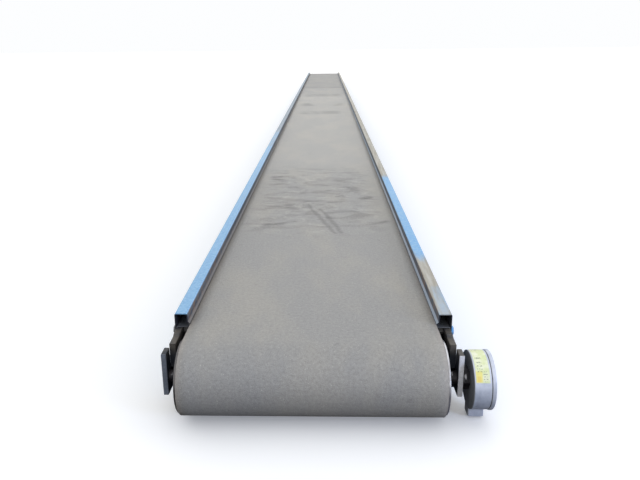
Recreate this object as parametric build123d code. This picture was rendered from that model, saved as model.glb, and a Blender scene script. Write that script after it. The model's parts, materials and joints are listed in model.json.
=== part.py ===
from build123d import *
from math import asin, atan2, cos, degrees, hypot, radians, sin
import os

# Slider-bed belt conveyor section, driven by a drum motor at the head end.
# Millimetres. X runs across the belt with the terminal box at +X, Y runs along the belt
# from the head at -Y to the tail at +Y, and Z = 0 is the underside of the side frames.
# The origin is the centre of the middle stand's four bolt holes.

# ---- driving dimensions -----------------------------------------------------------------
centre_distance = 12000.0      # head drum axis to tail drum axis
belt_width = 600.0
belt_thick = 4.0
belt_top_z = 185.0             # carrying face above the underside of the frames
drum_dia = 168.3
drum_wall = 8.0
drum_overhang = 5.0            # how far a drum shell stands past each belt edge
rim_radius = 1.5               # rounding of the shell's rims
cap_inset = 2.0                # end cap's face inside the rim
cap_thick = 20.0
cap_groove = 12.0              # ring groove in the cap's face, from its rim and its seal
cap_groove_depth = 3.0
bearing_r, bearing_width = 31.0, 16.0
seal_r = 25.0
roller_dia = 48.3
roller_wall = 2.5
roller_count = 6
roller_drop = 66.0             # return roller axis below the drum axis
first_roller = 300.0           # from each drum axis to the nearest return roller
shaft_dia = 30.0               # fixed shafts of both drums
roller_axle_dia = 12.0
roller_plug = 15.0
axle_nut_flats, axle_nut_thick = 19.0, 10.0
axle_past_nut = 3.0
collar_r, collar_width = 25.0, 8.0      # right shaft's collar against the motor
shaft_in_motor = 10.0
shaft_in_box = 12.0
shaft_past_plate = 1.0
shaft_past_cap = 28.0
lock_nut_flats = 46.0

frame_sheet = 3.0              # cold-formed side frame
rail_rise = 30.0               # top of the side rail above the belt
rail_flange = 32.0             # width of the rail's top flange
rail_clear = 4.0               # skirt face to belt edge
skirt_drop = 22.0              # straight part of the rail's inner skirt
lip_in = 5.0                   # the skirt's rolled lip reaches this far inwards
lip_down = 4.5
foot_flange = 50.0             # bottom flange of the side frame
bend_radius = 2.0              # inside radius of every fold
frame_end = 82.0               # drum axis to the end of the side frames
section_count = 3
section_gap = 1.0

bed_sheet = 2.0
bed_flange = 40.0              # turned-down edge of the slider bed
bed_flange_stop = 300.0        # drum axis to the start of that turned-down edge
bed_bolt_rise = 13.0           # bed bolts above the turned-down edge
bed_per_section = 4
bed_bolt_inset = 380.0

cross_count = 8
cross_inset = 600.0            # drum axis to the first cross member
cross_depth = 60.0
cross_width = 40.0
cross_bottom_z = 76.0
cross_end_plate = 6.0
cross_row_inset = 15.0

splice_length = 240.0
splice_thick = 4.0
splice_low_z = 22.0
splice_high_z = 130.0
splice_corner = 10.0
splice_row_inset = 25.0
splice_columns = [-90.0, -35.0, 35.0, 90.0]

bracket_thick = 15.0           # head and tail extension brackets, inside the web
bracket_nose = 10.0            # head bracket's front edge behind the drum axis
bracket_tail = 250.0           # its back edge behind the drum axis
bracket_clear = 2.5            # bracket's top edge below the slider bed
bracket_nose_step = 4.0        # and its nose below that
bracket_below = 33.0
bracket_shaft_gap = 5.0        # radial, round the drum's shaft
bracket_step_length = 35.0     # the lower nose's length
bracket_step_slope = 10.0
bracket_bolt_front = 20.0      # first bolt column behind the frame's end
bracket_bolt_back = 35.0       # last bolt column before the bracket's tail
bracket_row_low = 16.0         # lower bolt row below the drum axis
bracket_row_high = 14.0        # upper bolt row below the bracket's top edge
axle_plate_thick = 12.0
axle_plate_front = 22.0
axle_plate_back = 66.0
axle_plate_above = 66.0
axle_plate_step = 26.0
axle_plate_step_back = 10.0
axle_plate_below = 38.0
plate_chamfer = 1.0
plate_row_high = 9.0           # axle plate bolts above the drum axis
plate_row_low = 22.0           # and below it
plate_column_shift = 4.0       # and behind the middle of the plate's tail

box_gap = 15.0                 # axle plate to terminal box
box_dia = 132.0
box_depth = 40.0
box_drop = 5.0                 # box centre below the drum axis
box_wall = 4.0
lid_dia = 135.0
lid_thick = 9.0
gasket_thick = 1.5
boss_drop = 87.0               # cable boss's lower face below the box centre
boss_width = 36.5
boss_depth = 34.0
cable_entry_dia = 20.0
label_from, label_to = 66.0, 156.0      # degrees round the box, from the tail side upwards
label_thick = 0.55
label_margin = 4.0
lid_boss_r = 6.5               # round each lid screw
screw_recess = 4.0             # lid screw heads sit this deep
lid_screw_size = 5.0
lid_screw_inset = 8.0
lid_screw_reach = 14.0         # into the box, below the gasket
lid_screw_hole = 18.0
lid_head_sunk = 0.8
slot_depth, slot_half_width, slot_half_length = 1.6, 0.6, 4.0
lid_edge = 2.0
boss_corner = 4.0
boss_lap = 12.0                # boss overlaps the box's rim by this much
shaft_bore_dia = 12.0          # wiring bore of the right-hand shaft

stand_pitch = 4400.0
stand_hole_dia = 13.0
stand_hole_pitch = 100.0       # along the belt

take_up_out = 60.0             # tail drum travel away from the head
take_up_in = 20.0              # and back towards it
arm_half = 50.0                # half the height of the tail bracket's slotted arm
arm_slope_low = 14.0
arm_start = 56.0               # drum axis to the arm's start, towards the head
arm_full = 20.0                # and to its full height
lug_half = 30.0
block_length = 60.0
block_height = 50.0
block_cheek = 6.0              # block's guide cheeks each side of the bracket
block_cheek_lap = 6.0
ear_width = 18.0
ear_length = 30.0
ear_height = 36.0
screw_dia = 16.0
screw_lug = 10.0               # end lug that the take-up screw turns in
screw_lug_margin = 10.0
screw_collar, screw_collar_width = 3.0, 6.0
screw_head_flats, screw_head_thick = 24.0, 12.0
tail_bore_floor = 2.0          # metal left outside the tail shaft's end
tail_shaft_gap = 0.5

rolling_gap = 0.3              # belt to drum or roller
running_gap = 0.05             # radial, shaft in bearing or bore
slide_gap = 0.2                # flat sliding faces
fit_gap = 0.05                 # radial, parts fitted into one another
hole_gap = 0.5                 # radial, bolt in its hole

# ---- places worked out from them --------------------------------------------------------
drum_r = drum_dia / 2
belt_inner_r = drum_r + rolling_gap
belt_outer_r = belt_inner_r + belt_thick
axis_z = belt_top_z - belt_outer_r
bed_top_z = belt_top_z - belt_thick
rail_top_z = belt_top_z + rail_rise
head_y = -centre_distance / 2
tail_y = centre_distance / 2
half_belt = belt_width / 2
skirt_x = half_belt + rail_clear
web_out = skirt_x + rail_flange
web_in = web_out - frame_sheet
shell_half = half_belt + drum_overhang
roller_r = roller_dia / 2
roller_z = axis_z - roller_drop
frame_from = head_y + frame_end
frame_to = tail_y - frame_end
section_length = (frame_to - frame_from - (section_count - 1) * section_gap) / section_count
bracket_in = web_in - bracket_thick
axle_plate_out = web_in + axle_plate_thick
bracket_top = bed_top_z - bed_sheet - bracket_clear
shaft_r = shaft_dia / 2

section_starts = [frame_from + i * (section_length + section_gap) for i in range(section_count)]
joint_stations = [y - section_gap / 2 for y in section_starts[1:]]
cross_span = centre_distance - 2 * cross_inset
cross_stations = [head_y + cross_inset + i * cross_span / (cross_count - 1) for i in range(cross_count)]
roller_span = centre_distance - 2 * first_roller
roller_stations = [
    head_y + first_roller + i * roller_span / (roller_count - 1) for i in range(roller_count)
]
stand_stations = [-stand_pitch, 0.0, stand_pitch]
stand_hole_x = web_out - foot_flange / 2


# ---- helpers ----------------------------------------------------------------------------
def rod(radius, x_from, x_to, y=0.0, z=0.0):
    """A cylinder along X between two X values."""
    return Location(((x_from + x_to) / 2, y, z), (0, 90, 0)) * Cylinder(radius, abs(x_to - x_from))


def ring(outer, inner, x_from, x_to, y=0.0, z=0.0):
    return rod(outer, x_from, x_to, y, z) - rod(inner, x_from - 1, x_to + 1, y, z)


def upright(radius, z_from, z_to, x=0.0, y=0.0):
    return Location((x, y, (z_from + z_to) / 2)) * Cylinder(radius, z_to - z_from)


def along(radius, y_from, y_to, x=0.0, z=0.0):
    return Location((x, (y_from + y_to) / 2, z), (90, 0, 0)) * Cylinder(radius, y_to - y_from)


def block(x, y, z):
    """A box from three (low, high) pairs."""
    size = [pair[1] - pair[0] for pair in (x, y, z)]
    middle = [(pair[0] + pair[1]) / 2 for pair in (x, y, z)]
    return Location(tuple(middle)) * Box(*size)


def hexagon(across_flats, x_from, x_to, y, z):
    """A hexagonal prism along X."""
    face = Plane.YZ * Pos(y, z) * RegularPolygon(across_flats / 2, 6, major_radius=False)
    return Pos(x_from, 0, 0) * extrude(face, x_to - x_from)


def folded(points, thick, plane, length):
    """A folded sheet: the polyline is one face of it, and the sheet lies to its right."""
    count = len(points)
    steps = [(b[0] - a[0], b[1] - a[1]) for a, b in zip(points, points[1:])]
    runs = [(dx / hypot(dx, dy), dy / hypot(dx, dy)) for dx, dy in steps]
    back, turns = [], []
    for i, (x, y) in enumerate(points):
        a = runs[max(i - 1, 0)]
        b = runs[min(i, count - 2)]
        share = thick / (1 + a[0] * b[0] + a[1] * b[1])
        back.append((x + (a[1] + b[1]) * share, y - (a[0] + b[0]) * share))
        if 0 < i < count - 1:
            turns.append(a[0] * b[1] - a[1] * b[0])
    front_radii = [bend_radius + (thick if turn < 0 else 0) for turn in turns]
    back_radii = [bend_radius + (thick if turn > 0 else 0) for turn in turns]
    front = FilletPolyline(*points, radius=front_radii)
    rear = FilletPolyline(*back, radius=back_radii)
    outline = [*front.edges(), *rear.edges()]
    outline += [Line(points[0], back[0]).edge(), Line(points[-1], back[-1]).edge()]
    return extrude(plane * make_face(outline), length)


def sides(name, shape):
    """Write a right-hand piece and its mirror image on the left."""
    save(name + "_right", shape)
    save(name + "_left", mirror(shape, Plane.YZ))


def both(shapes):
    """A list of solids with their mirror images."""
    return shapes + [mirror(shape, Plane.YZ) for shape in shapes]


def save(name, shape):
    """One STEP for each node: a single solid, or a group of separate solids."""
    if isinstance(shape, list):
        shape = Compound(children=[solid for item in shape for solid in item.solids()])
    export_step(shape, f"parts/{name}.step")


def bolt(size, grip_from, grip_to, y, z):
    """A hex bolt along X through a stack: head outside at grip_to, nut at grip_from."""
    flats, head, nut, tail = 1.55 * size, 0.65 * size, 0.8 * size, 0.12 * size
    body = hexagon(flats, grip_to, grip_to + head, y, z)
    body += rod(size / 2, grip_from - nut - tail, grip_to, y, z)
    hex_nut = hexagon(flats, grip_from - nut, grip_from, y, z)
    hex_nut -= rod(size / 2 + fit_gap, grip_from - nut - 1, grip_from + 1, y, z)
    return [body, hex_nut]


# ---- bolt patterns ----------------------------------------------------------------------
splice_bolt, cross_bolt, bed_bolt, bracket_bolt, plate_bolt = 10.0, 10.0, 8.0, 12.0, 10.0
splice_rows = [splice_low_z + splice_row_inset, splice_high_z - splice_row_inset]
splice_holes = [
    (y + column, row) for y in joint_stations for column in splice_columns for row in splice_rows
]
cross_rows = [cross_bottom_z + cross_row_inset, cross_bottom_z + cross_depth - cross_row_inset]
cross_holes = [(y, row) for y in cross_stations for row in cross_rows]
bed_bolt_z = bed_top_z - bed_flange + bed_bolt_rise
bed_pitch = (section_length - 2 * bed_bolt_inset) / (bed_per_section - 1)
bed_holes = [
    (start + bed_bolt_inset + i * bed_pitch, bed_bolt_z)
    for start in section_starts
    for i in range(bed_per_section)
]
bracket_columns = [frame_end + bracket_bolt_front, bracket_tail - bracket_bolt_back]
bracket_rows = [axis_z - bracket_row_low, bracket_top - bracket_row_high]
head_holes = [(head_y + c, row) for c in bracket_columns for row in bracket_rows]
tail_holes = [(tail_y - c, row) for c in bracket_columns for row in bracket_rows]
plate_column = head_y + (axle_plate_back + shaft_r) / 2 + plate_column_shift
plate_holes = [(plate_column, axis_z + plate_row_high), (plate_column, axis_z - plate_row_low)]
web_patterns = [
    (splice_holes, splice_bolt),
    (cross_holes, cross_bolt),
    (bed_holes, bed_bolt),
    (head_holes + tail_holes, bracket_bolt),
    ([(y, roller_z) for y in roller_stations], roller_axle_dia),
]


def drill(shape, holes, size, x_from, x_to, y_from, y_to):
    """Bolt holes through a plate that stands across X, for the pattern's part of its length."""
    tools = [rod(size / 2 + hole_gap, x_from, x_to, y, z) for y, z in holes if y_from < y < y_to]
    return shape - tools if tools else shape


# ---- side frames ------------------------------------------------------------------------
def frame_section(start):
    """One length of the right-hand side frame: lip, skirt, top flange, web and foot."""
    skirt_low = rail_top_z - skirt_drop
    outline = [
        (skirt_x - lip_in, skirt_low - lip_down),
        (skirt_x, skirt_low),
        (skirt_x, rail_top_z),
        (web_out, rail_top_z),
        (web_out, 0.0),
        (web_out - foot_flange, 0.0),
    ]
    across = Plane(origin=(0, start, 0), x_dir=(1, 0, 0), z_dir=(0, -1, 0))
    section = Pos(0, section_length, 0) * folded(outline, frame_sheet, across, section_length)
    end = start + section_length
    for holes, size in web_patterns:
        section = drill(section, holes, size, web_in - 5, web_out + 5, start, end)
    for y in stand_stations:
        for offset in (-stand_hole_pitch / 2, stand_hole_pitch / 2):
            if start < y + offset < end:
                section -= upright(stand_hole_dia / 2, -5, frame_sheet + 5, stand_hole_x, y + offset)
    return section


def bed_section(start):
    """The slider bed: a flat pan with turned-down edges, plain next to the drums."""
    outline = [
        (-web_in, bed_top_z - bed_flange),
        (-web_in, bed_top_z),
        (web_in, bed_top_z),
        (web_in, bed_top_z - bed_flange),
    ]
    across = Plane(origin=(0, start, 0), x_dir=(1, 0, 0), z_dir=(0, -1, 0))
    pan = Pos(0, section_length, 0) * folded(outline, bed_sheet, across, section_length)
    end = start + section_length
    pan = drill(pan, bed_holes, bed_bolt, -web_in - 5, web_in + 5, start, end)
    keep = bed_top_z - bed_sheet - bend_radius
    for stop_from, stop_to in ((head_y, head_y + bed_flange_stop), (tail_y - bed_flange_stop, tail_y)):
        if stop_to > start and stop_from < end:
            pan -= block((-web_out, web_out), (stop_from, stop_to), (0, keep))
    return pan


def cross_member(y):
    """A channel across the frame with an end plate at each web."""
    end = web_in - cross_end_plate
    low, high = cross_bottom_z, cross_bottom_z + cross_depth
    side = y - cross_width / 2
    outline = [(side + cross_width, low), (side, low), (side, high), (side + cross_width, high)]
    across = Plane(origin=(-end, 0, 0), x_dir=(0, 1, 0), z_dir=(1, 0, 0))
    member = folded(outline, frame_sheet, across, 2 * end)
    for x in ((-web_in, -end), (end, web_in)):
        member += block(x, (side, side + cross_width), (low, high))
    for z in cross_rows:
        for x in ((-web_in - 1, -end + 1), (end - 1, web_in + 1)):
            member -= rod(cross_bolt / 2 + hole_gap, *x, y, z)
    return member


def splice_plate(y):
    plate = block((web_in - splice_thick, web_in), (y - splice_length / 2, y + splice_length / 2),
                  (splice_low_z, splice_high_z))
    plate = fillet(plate.edges().filter_by(Axis.X), splice_corner)
    return drill(plate, splice_holes, splice_bolt, web_in - 20, web_in + 5,
                 y - splice_length / 2, y + splice_length / 2)


# ---- head end: brackets, axle plates ----------------------------------------------------
def plate_from(points, x_from, x_to):
    """A flat plate across X from its outline in (Y, Z), with its edges broken."""
    face = Plane.YZ * make_face(Polyline(*points, close=True))
    plate = Pos(x_from, 0, 0) * extrude(face, x_to - x_from)
    return chamfer(plate.faces().filter_by(Axis.X).edges(), plate_chamfer)


def head_bracket():
    nose, tail = head_y + bracket_nose, head_y + bracket_tail
    step = nose + bracket_step_length
    outline = [
        (nose, axis_z - bracket_below),
        (tail, axis_z - bracket_below),
        (tail, bracket_top),
        (step + bracket_step_slope, bracket_top),
        (step, bracket_top - bracket_nose_step),
        (nose, bracket_top - bracket_nose_step),
    ]
    plate = plate_from(outline, bracket_in, web_in)
    plate -= rod(shaft_r + bracket_shaft_gap, bracket_in - 1, web_in + 1, head_y, axis_z)
    plate = drill(plate, head_holes, bracket_bolt, bracket_in - 1, web_in + 1, head_y, tail)
    return drill(plate, plate_holes, plate_bolt, bracket_in - 1, web_in + 1, head_y, tail)


def axle_plate():
    front, back = head_y - axle_plate_front, head_y + axle_plate_back
    step = head_y + axle_plate_step_back
    outline = [
        (front, axis_z - axle_plate_below),
        (back, axis_z - axle_plate_below),
        (back, axis_z + axle_plate_step),
        (step, axis_z + axle_plate_step),
        (step, axis_z + axle_plate_above),
        (front, axis_z + axle_plate_above),
    ]
    plate = plate_from(outline, web_in, axle_plate_out)
    plate -= rod(shaft_r + fit_gap, web_in - 1, axle_plate_out + 1, head_y, axis_z)
    return drill(plate, plate_holes, plate_bolt, web_in - 1, axle_plate_out + 1, front, back)


# ---- drums ------------------------------------------------------------------------------
cap_out = shell_half - cap_inset
shell_bore = drum_r - drum_wall


def drum_shell(y):
    """A steel tube with its rims slightly rounded."""
    tube = ring(drum_r, shell_bore, -shell_half, shell_half, y, axis_z)

    def is_rim(edge):
        return edge.geom_type == GeomType.CIRCLE and edge.radius > drum_r - 0.01

    return fillet(tube.edges().filter_by(is_rim), rim_radius)


def drum_cap(y):
    """A right-hand end cap: bearing seat inside, seal seat outside."""
    inner = cap_out - cap_thick
    cap = ring(shell_bore - fit_gap, seal_r + fit_gap, inner, cap_out, y, axis_z)
    cap -= rod(bearing_r + fit_gap, inner - 1, inner + bearing_width, y, axis_z)
    groove_from = cap_out - cap_groove_depth
    groove = ring(shell_bore - cap_groove, seal_r + cap_groove, groove_from, cap_out + 1.0, y, axis_z)
    return cap - groove


def bearing(y):
    inner = cap_out - cap_thick
    return ring(bearing_r, shaft_r + running_gap, inner, inner + bearing_width, y, axis_z)


def seal(y):
    inner = cap_out - cap_thick + bearing_width
    return ring(seal_r, shaft_r + running_gap, inner, cap_out - 1.0, y, axis_z)


motor_r = 62.0
motor_wall = 6.0
motor_from, motor_to = -20.0, 235.0
rotor_r, rotor_from, rotor_to = 30.0, 30.0, 150.0
rotor_shaft_r = 10.0
air_gap = 0.6
shield_width = 14.0
gearbox_from = -150.0
output_r = 12.5
coupling_from, coupling_to = -200.0, -180.0
motor_end_wall = 12.0
rotor_stub, rotor_pinion = 45.0, 25.0   # rotor shaft past the rotor, and into the gearbox
gear_input_depth, gear_output_depth, output_length = 30.0, 45.0, 40.0
shield_gap = 25.0                       # rotor to its outer bearing shield


def motor_parts():
    """The drum motor's fixed and turning insides."""
    y, z = head_y, axis_z
    housing = rod(motor_r, motor_from, motor_to, y, z)
    housing -= rod(motor_r - motor_wall, motor_from - 1, motor_to - motor_end_wall, y, z)
    housing -= rod(shaft_r + fit_gap, motor_to - 20, motor_to + 1, y, z)
    save("motor_housing", housing)
    inside = motor_r - motor_wall - fit_gap
    save("stator", ring(inside, rotor_r + air_gap, rotor_from, rotor_to, y, z))
    shields = [
        ring(inside, rotor_shaft_r + running_gap, x, x + shield_width, y, z)
        for x in (motor_from, rotor_to + shield_gap)
    ]
    save("rotor_bearings", shields)
    rotor = rod(rotor_r, rotor_from, rotor_to, y, z)
    rotor += rod(rotor_shaft_r, motor_from - rotor_pinion, rotor_to + rotor_stub, y, z)
    save("motor_rotor", rotor)
    gearbox = rod(motor_r, gearbox_from, motor_from, y, z)
    gearbox -= rod(rotor_shaft_r + running_gap, motor_from - gear_input_depth, motor_from + 1, y, z)
    gearbox -= rod(output_r + running_gap, gearbox_from - 1, gearbox_from + gear_output_depth, y, z)
    save("gearbox", gearbox)
    coupling = rod(shell_bore - fit_gap, coupling_from, coupling_to, y, z)
    coupling += rod(output_r, coupling_to, gearbox_from + output_length, y, z)
    save("drive_coupling", coupling)


# ---- terminal box -----------------------------------------------------------------------
box_from = axle_plate_out + box_gap
box_to = box_from + box_depth
box_r = box_dia / 2
box_z = axis_z - box_drop
lid_screw_circle = box_r - lid_screw_inset
lid_screw_places = [
    (head_y + lid_screw_circle * cos(radians(a)), box_z + lid_screw_circle * sin(radians(a)))
    for a in (45, 135, 225, 315)
]


def terminal_box():
    y = head_y
    rim = box_to - gasket_thick
    body = rod(box_r, box_from, rim, y, box_z)
    boss_from = box_from + (box_depth - gasket_thick - boss_width) / 2
    foot = block((boss_from, boss_from + boss_width), (y - boss_depth / 2, y + boss_depth / 2),
                 (box_z - boss_drop, box_z - box_r + boss_lap))
    foot = fillet(foot.edges().filter_by(Axis.Z), boss_corner)
    body += foot
    inside = rod(box_r - box_wall, box_from + box_wall, rim + 1, y, box_z)
    for place in lid_screw_places:
        inside -= rod(lid_boss_r, box_from, rim + 2, *place)
    body -= inside
    for place in lid_screw_places:
        body -= rod(lid_screw_size / 2 + fit_gap, rim - lid_screw_hole, rim + 1, *place)
    body -= rod(shaft_r + fit_gap, box_from - 1, box_from + box_wall + 1, y, axis_z)
    boss_x = boss_from + boss_width / 2
    entry_top = box_z - box_r + box_wall + 6
    return body - upright(cable_entry_dia / 2, box_z - boss_drop - 1, entry_top, boss_x, y)


def box_lid():
    lid = rod(lid_dia / 2, box_to, box_to + lid_thick, head_y, box_z)
    lid = fillet(lid.edges().filter_by(GeomType.CIRCLE), lid_edge)
    for place in lid_screw_places:
        lid -= rod(lid_screw_size / 2 + hole_gap, box_to - 1, box_to + lid_thick + 1, *place)
        recess = box_to + lid_thick - screw_recess
        lid -= rod(lid_screw_size + hole_gap, recess, box_to + lid_thick + 1, *place)
    return lid


def lid_gasket():
    seal_ring = ring(box_r, box_r - box_wall, box_to - gasket_thick, box_to, head_y, box_z)
    disc = rod(box_r, box_from, box_to + 1, head_y, box_z)
    for place in lid_screw_places:
        seal_ring += rod(lid_boss_r, box_to - gasket_thick, box_to, *place) & disc
    for place in lid_screw_places:
        seal_ring -= rod(lid_screw_size / 2 + hole_gap, box_from, box_to + 1, *place)
    return seal_ring


def lid_screw(place):
    top = box_to + lid_thick - lid_head_sunk
    recess = box_to + lid_thick - screw_recess
    head = rod(lid_screw_size, recess, top, *place)
    head += rod(lid_screw_size / 2, box_to - gasket_thick - lid_screw_reach, recess, *place)
    y = (place[0] - slot_half_width, place[0] + slot_half_width)
    z = (place[1] - slot_half_length, place[1] + slot_half_length)
    return head - block((top - slot_depth, top + 1), y, z)


def box_label():
    """A plain plate wrapped round the front and top of the box."""
    inner = box_r + fit_gap
    centre, sweep = (head_y, box_z), label_to - label_from
    arc_out = CenterArc(centre, inner + label_thick, label_from, sweep)
    arc_in = CenterArc(centre, inner, label_from, sweep)
    ends = [Line(arc_out @ 0, arc_in @ 0), Line(arc_out @ 1, arc_in @ 1)]
    face = make_face([arc_out.edge(), arc_in.edge(), *[line.edge() for line in ends]])
    width = box_depth - gasket_thick - 2 * label_margin
    return Pos(box_from + label_margin, 0, 0) * extrude(Plane.YZ * face, width)


# ---- belt -------------------------------------------------------------------------------
rise = hypot(first_roller, roller_drop)
roller_belt_r = roller_r + rolling_gap
climb = degrees(asin((belt_outer_r + roller_belt_r) / rise) - atan2(roller_drop, first_roller))


def belt_loop(offset):
    """The belt's closed line, offset outwards from its inner face: over the bed, round both
    drums, and back over the return rollers, which touch its outer face."""
    drum_radius = belt_inner_r + offset
    roller_radius = roller_belt_r + belt_thick - offset
    top = axis_z + drum_radius
    back = roller_z + roller_radius
    first, last = roller_stations[0], roller_stations[-1]
    head_wrap = CenterArc((head_y, axis_z), drum_radius, 90, 180 + climb)
    head_lift = CenterArc((first, roller_z), roller_radius, 90, climb)
    tail_lift = CenterArc((last, roller_z), roller_radius, 90 - climb, climb)
    tail_wrap = CenterArc((tail_y, axis_z), drum_radius, 270 - climb, 180 + climb)
    lines = [
        Line((head_y, top), (tail_y, top)),
        Line(head_wrap @ 1, head_lift @ 1),
        Line((first, back), (last, back)),
        Line(tail_lift @ 0, tail_wrap @ 0),
    ]
    return [curve.edge() for curve in (head_wrap, head_lift, tail_lift, tail_wrap, *lines)]


def belt():
    face = make_face(belt_loop(belt_thick)) - make_face(belt_loop(0.0))
    return Pos(-half_belt, 0, 0) * extrude(Plane.YZ * face, belt_width)


# ---- return rollers ---------------------------------------------------------------------

def return_roller(y):
    """A tube with a bearing plug in each end."""
    tube = ring(roller_r, roller_r - roller_wall, -shell_half, shell_half, y, roller_z)
    plug = ring(roller_r - roller_wall - fit_gap, roller_axle_dia / 2 + running_gap,
                shell_half - roller_plug, shell_half, y, roller_z)
    return [tube, *both([plug])]


def roller_axle(y):
    """A fixed axle between the webs, with a nut outside each."""
    end = web_out + axle_nut_thick + axle_past_nut
    nut = hexagon(axle_nut_flats, web_out, web_out + axle_nut_thick, y, roller_z)
    nut -= rod(roller_axle_dia / 2 + fit_gap, web_out - 1, end, y, roller_z)
    return [rod(roller_axle_dia / 2, -end, end, y, roller_z), *both([nut])]


# ---- tail end: screw take-up ------------------------------------------------------------
window_from = tail_y - take_up_in - block_length / 2 - slide_gap
window_to = tail_y + take_up_out + block_length / 2 + slide_gap
tail_bracket_end = window_to + screw_lug_margin
ear_in = web_in + slide_gap + block_cheek
screw_x = ear_in + ear_width / 2


def tail_bracket():
    """A plate inside the web with a window for the take-up block and an end lug."""
    outline = [
        (tail_y - bracket_tail, axis_z - bracket_below),
        (tail_y - arm_start - arm_slope_low, axis_z - bracket_below),
        (tail_y - arm_start, axis_z - arm_half),
        (tail_bracket_end, axis_z - arm_half),
        (tail_bracket_end, axis_z + arm_half),
        (tail_y - arm_full, axis_z + arm_half),
        (tail_y - arm_start, bracket_top),
        (tail_y - bracket_tail, bracket_top),
    ]
    plate = plate_from(outline, bracket_in, web_in)
    half = block_height / 2 + slide_gap
    plate -= block((bracket_in - 1, web_in + 1), (window_from, window_to), (axis_z - half, axis_z + half))
    plate += block((bracket_in, screw_x + ear_width / 2), (tail_bracket_end, tail_bracket_end + screw_lug),
                   (axis_z - lug_half, axis_z + lug_half))
    plate -= along(screw_dia / 2 + running_gap, window_to, tail_bracket_end + 50, screw_x, axis_z)
    return drill(plate, tail_holes, bracket_bolt, bracket_in - 1, web_in + 1, tail_y - bracket_tail, tail_y)


def take_up_block():
    """A sliding block: a core in the window, a cheek each side, an ear for the screw."""
    y = (tail_y - block_length / 2, tail_y + block_length / 2)
    half = block_height / 2
    wide = half + block_cheek_lap
    cheek_in = bracket_in - slide_gap
    cheek_out = web_in + slide_gap
    body = block((cheek_in - block_cheek, ear_in), y, (axis_z - half, axis_z + half))
    body += block((cheek_in - block_cheek, cheek_in), y, (axis_z - wide, axis_z + wide))
    body += block((cheek_out, ear_in), y, (axis_z - wide, axis_z + wide))
    body += block((ear_in, ear_in + ear_width), (tail_y - ear_length / 2, tail_y + ear_length / 2),
                  (axis_z - ear_height / 2, axis_z + ear_height / 2))
    body -= rod(shaft_r + fit_gap, cheek_in - block_cheek - 1, ear_in - tail_bore_floor, tail_y, axis_z)
    return body - along(screw_dia / 2 + running_gap, tail_y - 40, tail_y + 40, screw_x, axis_z)


def take_up_screw():
    """A long screw that turns in the end lug, with a collar inside it and a head outside."""
    lug_from, lug_to = tail_bracket_end, tail_bracket_end + screw_lug
    screw = along(screw_dia / 2, tail_y - take_up_in - ear_length, lug_to + 1, screw_x, axis_z)
    collar_to = lug_from - slide_gap
    screw += along(screw_dia / 2 + screw_collar, collar_to - screw_collar_width, collar_to, screw_x, axis_z)
    head = Plane.XZ * Pos(screw_x, axis_z) * RegularPolygon(screw_head_flats / 2, 6, major_radius=False)
    return screw + Pos(0, lug_to + slide_gap, 0) * extrude(head, -screw_head_thick)


# ---- write every node -------------------------------------------------------------------
os.makedirs("parts", exist_ok=True)

for number, start in enumerate(section_starts, 1):
    right = frame_section(start)
    save(f"side_frame_right_{number}", right)
    save(f"side_frame_left_{number}", mirror(right, Plane.YZ))
    save(f"bed_plate_{number}", bed_section(start))

save("cross_members", [cross_member(y) for y in cross_stations])
save("splice_plates", both([splice_plate(y) for y in joint_stations]))


def bolts_for(holes, size, grip_from, grip_to):
    return both([piece for y, z in holes for piece in bolt(size, grip_from, grip_to, y, z)])


save("splice_bolts", bolts_for(splice_holes, splice_bolt, web_in - splice_thick, web_out))
save("cross_member_bolts", bolts_for(cross_holes, cross_bolt, web_in - cross_end_plate, web_out))
save("bed_bolts", bolts_for(bed_holes, bed_bolt, web_in - bed_sheet, web_out))
save("head_bracket_bolts", bolts_for(head_holes, bracket_bolt, bracket_in, web_out))
save("tail_bracket_bolts", bolts_for(tail_holes, bracket_bolt, bracket_in, web_out))
save("axle_plate_bolts", bolts_for(plate_holes, plate_bolt, bracket_in, axle_plate_out))

sides("head_bracket", head_bracket())
sides("axle_plate", axle_plate())

save("drum_shell", drum_shell(head_y))
sides("drum_cap", drum_cap(head_y))
save("drum_bearings", both([bearing(head_y)]))
save("drum_seals", both([seal(head_y)]))
shaft_end = box_from + shaft_in_box
right_shaft = rod(shaft_r, motor_to - shaft_in_motor, shaft_end, head_y, axis_z)
right_shaft += rod(collar_r, motor_to, motor_to + collar_width, head_y, axis_z)
save("drum_shaft_right", right_shaft - rod(shaft_bore_dia / 2, motor_to, shaft_end + 1, head_y, axis_z))
left_reach = -cap_out + cap_thick + shaft_past_cap
save("drum_shaft_left", rod(shaft_r, -axle_plate_out - shaft_past_plate, left_reach, head_y, axis_z))
motor_parts()

lock_nut = hexagon(lock_nut_flats, axle_plate_out, box_from, head_y, axis_z)
save("shaft_lock_nut", lock_nut - rod(shaft_r + fit_gap, axle_plate_out - 1, box_from + 1, head_y, axis_z))
save("terminal_box", terminal_box())
save("terminal_box_lid", box_lid())
save("lid_gasket", lid_gasket())
save("lid_screws", [lid_screw(place) for place in lid_screw_places])
save("box_label", box_label())

save("belt", belt())
for number, y in enumerate(roller_stations, 1):
    save(f"return_roller_{number}", return_roller(y))
save("return_roller_axles", [piece for y in roller_stations for piece in roller_axle(y)])

save("tail_shell", drum_shell(tail_y))
sides("tail_cap", drum_cap(tail_y))
save("tail_bearings", both([bearing(tail_y)]))
tail_shaft_end = ear_in - tail_bore_floor - tail_shaft_gap
save("tail_shaft", rod(shaft_r, -tail_shaft_end, tail_shaft_end, tail_y, axis_z))
sides("tail_bracket", tail_bracket())
sides("take_up_block", take_up_block())
sides("take_up_screw", take_up_screw())
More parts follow.
